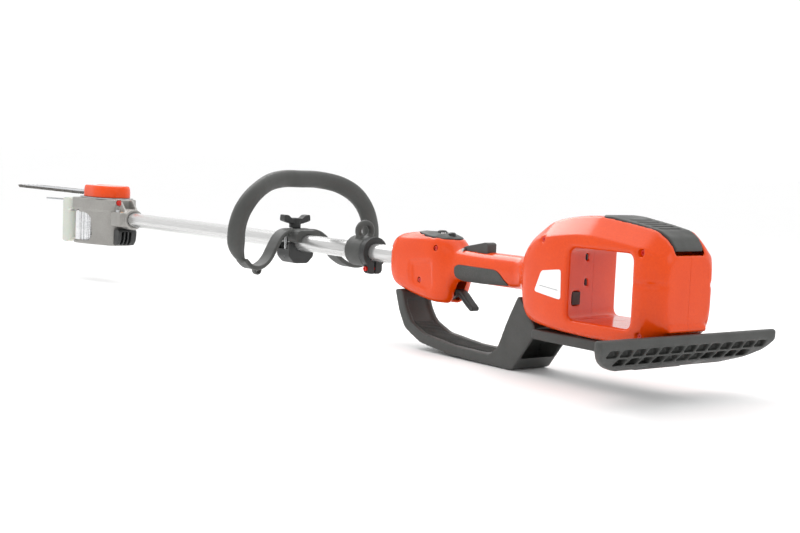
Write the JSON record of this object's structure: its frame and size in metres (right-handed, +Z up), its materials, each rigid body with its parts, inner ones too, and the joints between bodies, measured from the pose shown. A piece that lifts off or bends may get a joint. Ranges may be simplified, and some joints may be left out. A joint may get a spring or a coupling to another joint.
{
  "type": "battery pole saw",
  "caption": "Short-shaft battery pole saw: bar and chain on a die-cast head, tube shaft with loop handle and harness ring, trigger grip, guard, open battery bay and rest foot.",
  "frame": {"origin": "middle of the flat sole under the hand guard, on the centre plane", "axes": "+X from the cutting head to the battery housing along the shaft, +Z up with the loop handle upright, +Y to the operator's right when facing the cutting head"},
  "size_m": [1.6687, 0.28, 0.215],
  "materials": {
    "cast_grey": "bare die-cast light alloy, fine grain",
    "steel": "bare hardened steel",
    "aluminium": "clear anodised aluminium",
    "orange_plastic": "glossy moulded orange plastic",
    "dark_plastic": "fine-grain dark grey plastic",
    "black_plastic": "matt black plastic",
    "grip_rubber": "soft grey grip rubber",
    "tank_plastic": "milky translucent plastic",
    "copper": "copper windings on laminated steel",
    "board": "coated circuit board",
    "red_plastic": "red screw head"
  },
  "bodies": {
    "saw_frame": {"head_housing": "cast_grey", "bar_plate": "steel", "saw_chain": "steel", "output_bearing": "steel", "motor_stator": "copper", "motor_housing": "aluminium", "upper_motor_bearing": "steel", "lower_motor_bearing": "steel", "bar_stud": "steel", "sprocket_cover": "orange_plastic", "oil_tank": "tank_plastic", "oil_pump": "black_plastic", "limb_hook": "steel", "head_rear_cover": "black_plastic", "head_clamp_screw": "steel", "shaft_tube": "aluminium", "motor_cable": "black_plastic", "tube_gasket": "black_plastic", "left_handle_shell": "orange_plastic", "right_handle_shell": "orange_plastic", "left_grip_pad": "grip_rubber", "right_grip_pad": "grip_rubber", "keypad_panel": "dark_plastic", "lockout_pin": "steel", "trigger_pin": "steel", "trigger_switch": "black_plastic", "hand_guard": "dark_plastic", "left_battery_housing": "orange_plastic", "right_battery_housing": "orange_plastic", "vent_cover": "dark_plastic", "battery_connector": "black_plastic", "control_board": "board", "support_foot": "dark_plastic"},
    "motor_rotor_unit": {"motor_shaft": "steel", "motor_rotor": "steel"},
    "output_shaft_unit": {"drive_sprocket": "steel", "output_gear": "steel"},
    "pump_gear_unit": {"oil_pump_gear": "steel"},
    "bar_unit": {"guide_bar": "steel", "bar_adjuster_block": "steel"},
    "nose_sprocket_unit": {"nose_sprocket": "steel"},
    "tension_screw_unit": {"chain_tension_screw": "red_plastic"},
    "bar_nut_unit": {"bar_nut": "steel"},
    "tank_cap_unit": {"oil_tank_cap": "black_plastic"},
    "loop_unit": {"loop_handle": "dark_plastic", "loop_clamp": "dark_plastic", "left_clamp_bolt": "steel", "right_clamp_bolt": "steel"},
    "knob_unit": {"clamp_knob": "black_plastic"},
    "collar_unit": {"stop_collar": "black_plastic"},
    "collar_screw_unit": {"collar_screw": "red_plastic"},
    "ring_unit": {"harness_ring": "dark_plastic"},
    "trigger_unit": {"power_trigger": "black_plastic"},
    "lockout_unit": {"lockout_lever": "dark_plastic"},
    "power_button_unit": {"power_button": "black_plastic"},
    "boost_button_unit": {"boost_button": "black_plastic"},
    "latch_unit": {"battery_latch": "black_plastic"}
  },
  "joints": [
    {"name": "output_spin", "type": "hinge", "parent": "saw_frame", "child": "output_shaft_unit", "pos_m": [-1.05, 0, 0.14], "axis": [0, 0, 1], "continuous": true},
    {"name": "motor_spin", "type": "hinge", "parent": "saw_frame", "child": "motor_rotor_unit", "pos_m": [-1.09, -0.0202, 0.1], "axis": [0, 0, 1], "continuous": true},
    {"name": "oil_pump_spin", "type": "hinge", "parent": "saw_frame", "child": "pump_gear_unit", "pos_m": [-1.0375, 0, 0.113], "axis": [0, 1, 0], "continuous": true},
    {"name": "bar_travel", "type": "slide", "parent": "saw_frame", "child": "bar_unit", "axis": [1, 0, 0], "range_m": [0, 0.005]},
    {"name": "nose_sprocket_spin", "type": "hinge", "parent": "bar_unit", "child": "nose_sprocket_unit", "pos_m": [-1.383, 0, 0.151], "axis": [0, 0, 1], "continuous": true},
    {"name": "tension_screw_turn", "type": "hinge", "parent": "saw_frame", "child": "tension_screw_unit", "pos_m": [-1, -0.012, 0.139], "axis": [1, 0, 0], "range_deg": [0, 2260]},
    {"name": "bar_nut_turn", "type": "hinge", "parent": "saw_frame", "child": "bar_nut_unit", "pos_m": [-1.101, 0, 0.162], "axis": [0, 0, 1], "continuous": true},
    {"name": "tank_cap_turn", "type": "hinge", "parent": "saw_frame", "child": "tank_cap_unit", "pos_m": [-1.139, 0.009, 0.104], "axis": [0, 1, 0], "range_deg": [0, 450]},
    {"name": "loop_handle_slide", "type": "slide", "parent": "saw_frame", "child": "loop_unit", "axis": [1, 0, 0], "range_m": [-0.25, 0.055]},
    {"name": "clamp_knob_turn", "type": "hinge", "parent": "loop_unit", "child": "knob_unit", "pos_m": [-0.478, 0, 0.14], "axis": [0, 0, 1], "continuous": true},
    {"name": "collar_slide", "type": "slide", "parent": "saw_frame", "child": "collar_unit", "axis": [1, 0, 0], "range_m": [-0.04, 0.03]},
    {"name": "collar_screw_turn", "type": "hinge", "parent": "collar_unit", "child": "collar_screw_unit", "pos_m": [-0.2905, 0, 0.09], "axis": [0, 1, 0], "continuous": true},
    {"name": "harness_ring_swivel", "type": "hinge", "parent": "collar_unit", "child": "ring_unit", "pos_m": [-0.312, 0, 0.112], "axis": [1, 0, 0], "continuous": true},
    {"name": "trigger_squeeze", "type": "hinge", "parent": "saw_frame", "child": "trigger_unit", "pos_m": [-0.127, 0, 0.072], "axis": [0, -1, 0], "range_deg": [0, 14], "stiffness_Nm_per_rad": 0.6, "springref_deg": -8.59},
    {"name": "lockout_press", "type": "hinge", "parent": "saw_frame", "child": "lockout_unit", "pos_m": [-0.097, 0, 0.1305], "axis": [0, 1, 0], "range_deg": [0, 6], "stiffness_Nm_per_rad": 0.5, "springref_deg": -5.73},
    {"name": "power_button_press", "type": "slide", "parent": "saw_frame", "child": "power_button_unit", "axis": [0, 0, -1], "range_m": [0, 0.0006], "stiffness_N_per_m": 600, "springref_m": -0.0003},
    {"name": "boost_button_press", "type": "slide", "parent": "saw_frame", "child": "boost_button_unit", "axis": [0, 0, -1], "range_m": [0, 0.0006], "stiffness_N_per_m": 600, "springref_m": -0.0003},
    {"name": "battery_latch_push", "type": "slide", "parent": "saw_frame", "child": "latch_unit", "axis": [-1, 0, 0], "range_m": [0, 0.0025], "stiffness_N_per_m": 700, "springref_m": -0.0015}
  ],
  "couplings": [
    {"joint": "motor_spin", "follows": "output_spin", "ratio": -1.9474},
    {"joint": "oil_pump_spin", "follows": "output_spin", "ratio": 0.05},
    {"joint": "tension_screw_turn", "follows": "bar_travel", "rad_per_m": 7854}
  ]
}
